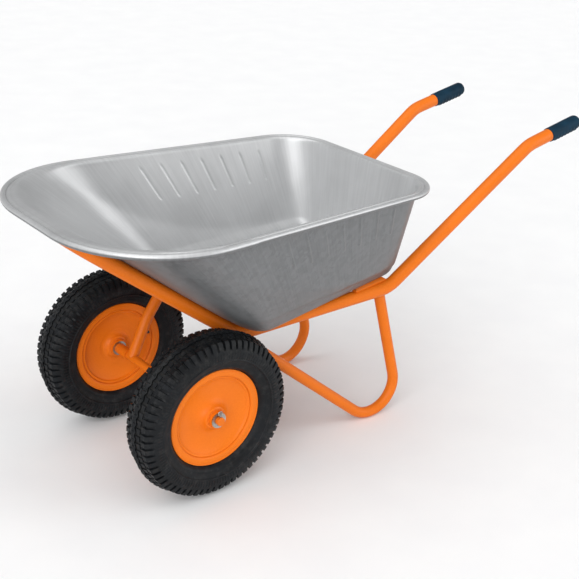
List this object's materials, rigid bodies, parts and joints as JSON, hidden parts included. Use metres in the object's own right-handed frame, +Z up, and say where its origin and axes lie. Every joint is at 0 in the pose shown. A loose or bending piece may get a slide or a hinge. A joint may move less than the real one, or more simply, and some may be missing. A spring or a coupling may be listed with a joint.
{
  "type": "wheelbarrow",
  "caption": "Garden wheelbarrow with a pressed galvanised tray on an orange tube frame, pneumatic tyred wheels on one axle, bent legs and ribbed hand grips.",
  "frame": {"origin": "on the ground, under the middle of the bounding box", "axes": "+X forward towards the wheels, +Y left, +Z up; the wheels spin about Y"},
  "size_m": [1.5031, 0.6848, 0.7285],
  "materials": {
    "black_plastic": "matte",
    "galvanised_sheet": "galvanised, streaked satin",
    "galvanised_wire": "galvanised",
    "grip_rubber": "matte moulded rubber",
    "orange_frame_paint": "semi-gloss powder coat",
    "orange_wheel_paint": "semi-gloss powder coat",
    "tube_rubber": "matte",
    "tyre_rubber": "matte with moulded tread",
    "zinc_steel": "zinc plated"
  },
  "bodies": {
    "root": {"tray": "galvanised_sheet", "rim_wire": "galvanised_wire", "frame_tube_left": "orange_frame_paint", "frame_tube_right": "orange_frame_paint", "front_loop": "orange_frame_paint", "strap_rear": "orange_frame_paint", "strap_front": "orange_frame_paint", "tray_bolts": "zinc_steel", "tray_washers": "zinc_steel", "tray_nuts": "zinc_steel", "leg_left": "orange_frame_paint", "leg_right": "orange_frame_paint", "strut_left": "orange_frame_paint", "strut_right": "orange_frame_paint", "axle": "orange_frame_paint", "spacer_left": "orange_frame_paint", "spacer_right": "orange_frame_paint", "grip_left": "grip_rubber", "grip_right": "grip_rubber", "split_pin_left": "zinc_steel", "split_pin_right": "zinc_steel"},
    "left_wheel": {"tyre_left": "tyre_rubber", "inner_tube_left": "tube_rubber", "rim_left": "orange_wheel_paint", "disc_outer_left": "orange_wheel_paint", "disc_inner_left": "orange_wheel_paint", "hub_left": "orange_wheel_paint", "bearing_outer_left": "zinc_steel", "bearing_inner_left": "zinc_steel", "washer_outer_left": "zinc_steel", "washer_inner_left": "zinc_steel", "valve_left": "tube_rubber", "valve_cap_left": "black_plastic"},
    "right_wheel": {"tyre_right": "tyre_rubber", "inner_tube_right": "tube_rubber", "rim_right": "orange_wheel_paint", "disc_outer_right": "orange_wheel_paint", "disc_inner_right": "orange_wheel_paint", "hub_right": "orange_wheel_paint", "bearing_outer_right": "zinc_steel", "bearing_inner_right": "zinc_steel", "washer_outer_right": "zinc_steel", "washer_inner_right": "zinc_steel", "valve_right": "tube_rubber", "valve_cap_right": "black_plastic"}
  },
  "joints": [
    {"name": "left_wheel_spin", "type": "hinge", "parent": "root", "child": "left_wheel", "pos_m": [0.443, 0.211, 0.2], "axis": [0, 1, 0], "continuous": true},
    {"name": "right_wheel_spin", "type": "hinge", "parent": "root", "child": "right_wheel", "pos_m": [0.443, -0.211, 0.2], "axis": [0, 1, 0], "continuous": true}
  ]
}
